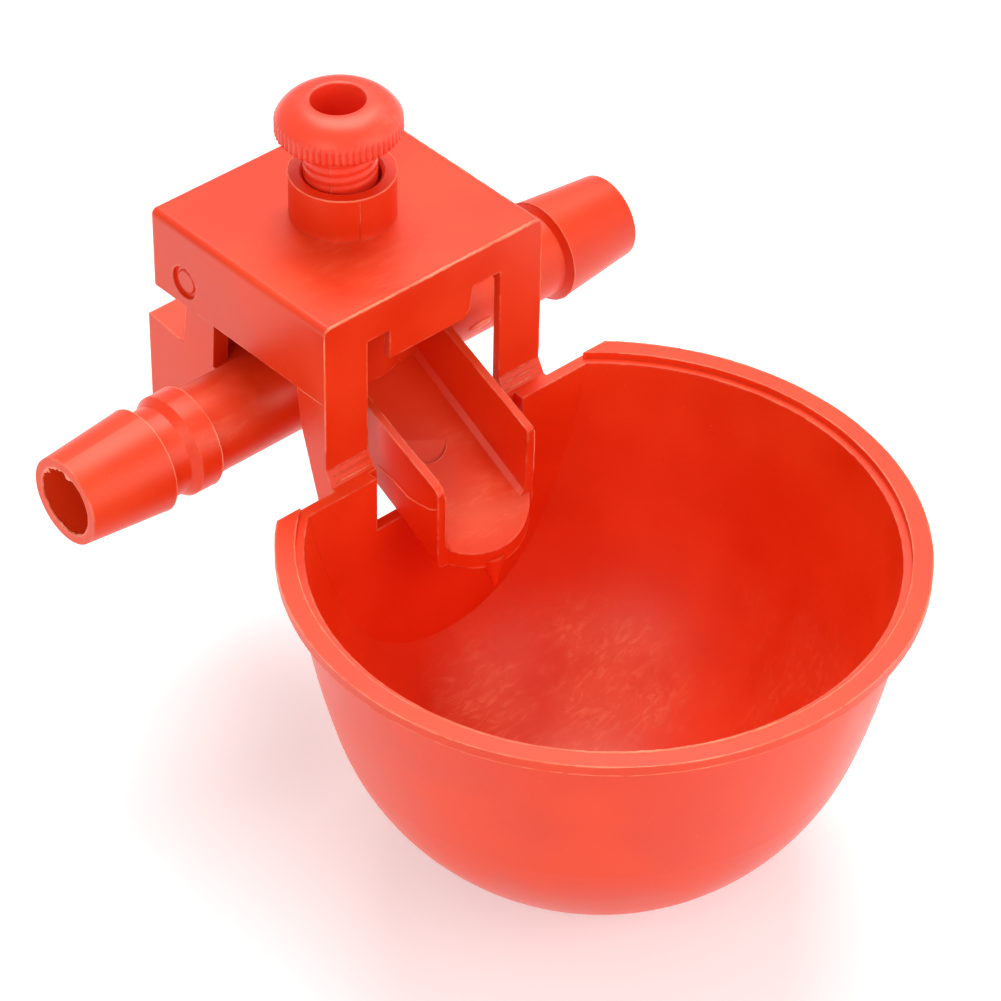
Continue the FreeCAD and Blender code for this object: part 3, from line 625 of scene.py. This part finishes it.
def make_pipe_flash():
    """Torn rings in the barbs' mouths, fine edges on the barbs and the collar, and the gate's
    scar on the front of the pipe."""
    ragged_ring("left_mouth_flash", -PIPE_END, 1.0, "valve", 71)
    ragged_ring("right_mouth_flash", PIPE_END, -1.0, "valve", 72)
    for sign, name in ((-1.0, "left"), (1.0, "right")):
        crest = arc((sign * BARB_AT, 0.0, 0.0), BARB_RAD - 0.03, 0.0, 357.0, "X", 3.0)
        flash_line("barb_edge_" + name, crest, 0.08, "valve", 73 + int(sign), 0.7, closed=True)
        mouth = arc((sign * (PIPE_END - 0.05), 0.0, 0.0), BORE_RAD + 0.05, 0.0, 357.0, "X", 3.0)
        flash_line("mouth_edge_" + name, mouth, 0.10, "valve", 77 + int(sign), 0.8, closed=True)
    collar = arc((-COLLAR_EDGE, 0.0, 0.0), COLLAR_RAD - 0.03, 0.0, 357.0, "X", 3.0)
    flash_line("collar_edge", collar, 0.09, "valve", 80, 0.7, closed=True)
    scar = [(15.6, -5.84, -1.0), (17.2, -5.86, -0.9), (18.6, -5.84, -0.9), (19.6, -5.86, -0.5)]
    flash_line("gate_scar", scar, 0.42, "valve", 81, 0.7)


make_cap_flash()
make_boss_flash()
make_post_ridges()
make_rim_flash()
make_chute_flash()
make_pipe_flash()


# --------------------------------------------------------------------------- stage

def make_floor():
    """A pale floor that shows white where it is lit and keeps the shadow."""
    low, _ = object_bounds()
    half = 3.0
    mesh = bpy.data.meshes.new("floor")
    mesh.from_pydata([(-half, -half, low[2]), (half, -half, low[2]), (half, half, low[2]), (-half, half, low[2])],
                     [], [(0, 1, 2, 3)])
    floor = bpy.data.objects.new("floor", mesh)
    bpy.context.scene.collection.objects.link(floor)
    n = Nodes("floor")
    matt = n.add("BsdfDiffuse")
    matt.inputs["Color"].default_value = (0.90, 0.90, 0.90, 1.0)
    glow = n.add("Emission")
    seen = n.add("LightPath")
    distance = n.math("SUBTRACT", 1.0, n.near((0.0, 0.0, 0.0), (900.0, 900.0, 900.0), 0.25))
    plain = n.math("ADD", n.math("MULTIPLY", distance, FLOOR_FAR), FLOOR_LIFT)
    lift = n.math("ADD", n.math("MULTIPLY", seen.outputs["Is Camera Ray"], plain),
                  n.math("MULTIPLY", seen.outputs["Is Glossy Ray"], FLOOR_SHEEN))
    n.put(glow.inputs["Strength"], lift)
    both = n.add("AddShader")
    n.put(both.inputs[0], matt.outputs[0])
    n.put(both.inputs[1], glow.outputs[0])
    out = n.add("OutputMaterial")
    n.put(out.inputs["Surface"], both.outputs[0])
    mesh.materials.append(n.material)


def make_world():
    """White to the camera and in reflections, a plain soft fill for the rest."""
    world = bpy.data.worlds.new("studio")
    bpy.context.scene.world = world
    world.use_nodes = True
    tree = world.node_tree
    tree.nodes.clear()
    seen = tree.nodes.new("ShaderNodeLightPath")
    direct = tree.nodes.new("ShaderNodeMath")
    direct.operation = "MAXIMUM"
    tree.links.new(seen.outputs["Is Camera Ray"], direct.inputs[0])
    tree.links.new(seen.outputs["Is Glossy Ray"], direct.inputs[1])
    amount = tree.nodes.new("ShaderNodeMapRange")
    tree.links.new(direct.outputs[0], amount.inputs["Value"])
    amount.inputs["To Min"].default_value = WORLD_FILL
    amount.inputs["To Max"].default_value = 1.0
    background = tree.nodes.new("ShaderNodeBackground")
    tree.links.new(amount.outputs["Result"], background.inputs["Strength"])
    out = tree.nodes.new("ShaderNodeOutputWorld")
    tree.links.new(background.outputs[0], out.inputs["Surface"])


def softbox(name, place, aim, size, watts):
    """A square studio lamp that faces a point.  Metres."""
    light = bpy.data.lights.new(name, "AREA")
    light.size = size
    light.energy = watts
    lamp = bpy.data.objects.new(name, light)
    lamp.location = place
    lamp.rotation_euler = (Vector(aim) - Vector(place)).to_track_quat("-Z", "Y").to_euler()
    bpy.context.scene.collection.objects.link(lamp)


def make_camera():
    """The camera stands to the front left and above, turned a little about its own line."""
    azimuth, elevation, roll = math.radians(-42.83), math.radians(39.67), math.radians(1.09)
    place = Vector((-0.27815, -0.32943, 0.33313))
    back = Vector((math.sin(azimuth) * math.cos(elevation), -math.cos(azimuth) * math.cos(elevation),
                   math.sin(elevation)))
    level = Vector((math.cos(azimuth), math.sin(azimuth), 0.0))
    upward = back.cross(level)
    right = level * math.cos(roll) + upward * math.sin(roll)
    up = upward * math.cos(roll) - level * math.sin(roll)
    data = bpy.data.cameras.new("camera")
    data.sensor_width = 36.0
    data.lens = 153.27
    data.clip_start = 0.01
    camera = bpy.data.objects.new("camera", data)
    camera.matrix_world = Matrix((
        (right.x, up.x, back.x, place.x), (right.y, up.y, back.y, place.y),
        (right.z, up.z, back.z, place.z), (0.0, 0.0, 0.0, 1.0)))
    bpy.context.scene.collection.objects.link(camera)
    bpy.context.scene.camera = camera


FLOOR_LIFT, FLOOR_FAR, FLOOR_SHEEN = 0.30, 0.40, 0.50
WORLD_FILL = 0.55
AIM = (0.0, -0.03, -0.01)
make_floor()
make_world()
softbox("key", (0.25, 0.22, 0.80), AIM, 0.60, 6.5)
softbox("left_fill", (-0.75, -0.35, 0.45), AIM, 0.6, 2.5)
softbox("front_fill", (0.28, -0.85, 0.38), AIM, 0.7, 3.2)
make_camera()
bpy.context.scene.view_settings.view_transform = "Standard"
